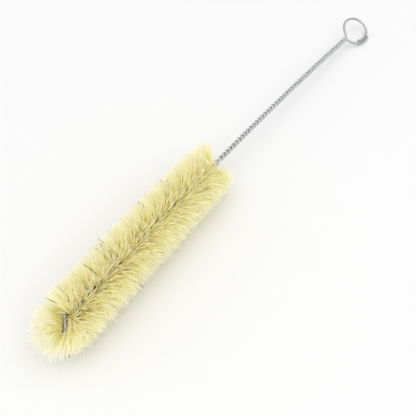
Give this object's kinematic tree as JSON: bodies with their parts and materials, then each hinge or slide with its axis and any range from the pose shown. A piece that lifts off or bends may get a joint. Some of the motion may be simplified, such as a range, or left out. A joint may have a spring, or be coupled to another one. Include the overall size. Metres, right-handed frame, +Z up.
{
  "type": "bottle brush",
  "caption": "Twisted-wire bottle brush: a hairpin of galvanised wire clamps a round head of natural bristles, then twists into a long thin stem and turns into a ring to hold and hang it by.",
  "frame": {"origin": "centre of the bounding box's underside, on the surface that the brush lies on", "axes": "+X along the brush from its bristled nose to its ring, +Z up from the surface it lies on, +Y to the side on which the ring is raised"},
  "size_m": [0.2496, 0.026, 0.0254],
  "materials": {
    "galvanised_wire": "bright galvanised wire, slightly dull",
    "bristle": "pale natural bristle, slightly glossy"
  },
  "bodies": {
    "root": {"twisted_wire": "galvanised_wire", "tuft_01": "bristle", "tuft_02": "bristle", "tuft_03": "bristle", "tuft_04": "bristle", "tuft_05": "bristle", "tuft_06": "bristle", "tuft_07": "bristle", "tuft_08": "bristle", "tuft_09": "bristle", "tuft_10": "bristle", "tuft_11": "bristle", "tuft_12": "bristle", "tuft_13": "bristle", "tuft_14": "bristle", "tuft_15": "bristle", "tuft_16": "bristle", "tuft_17": "bristle", "tuft_18": "bristle", "tuft_19": "bristle", "tuft_20": "bristle", "tuft_21": "bristle", "tuft_22": "bristle", "tuft_23": "bristle", "tuft_24": "bristle"}
  },
  "joints": []
}
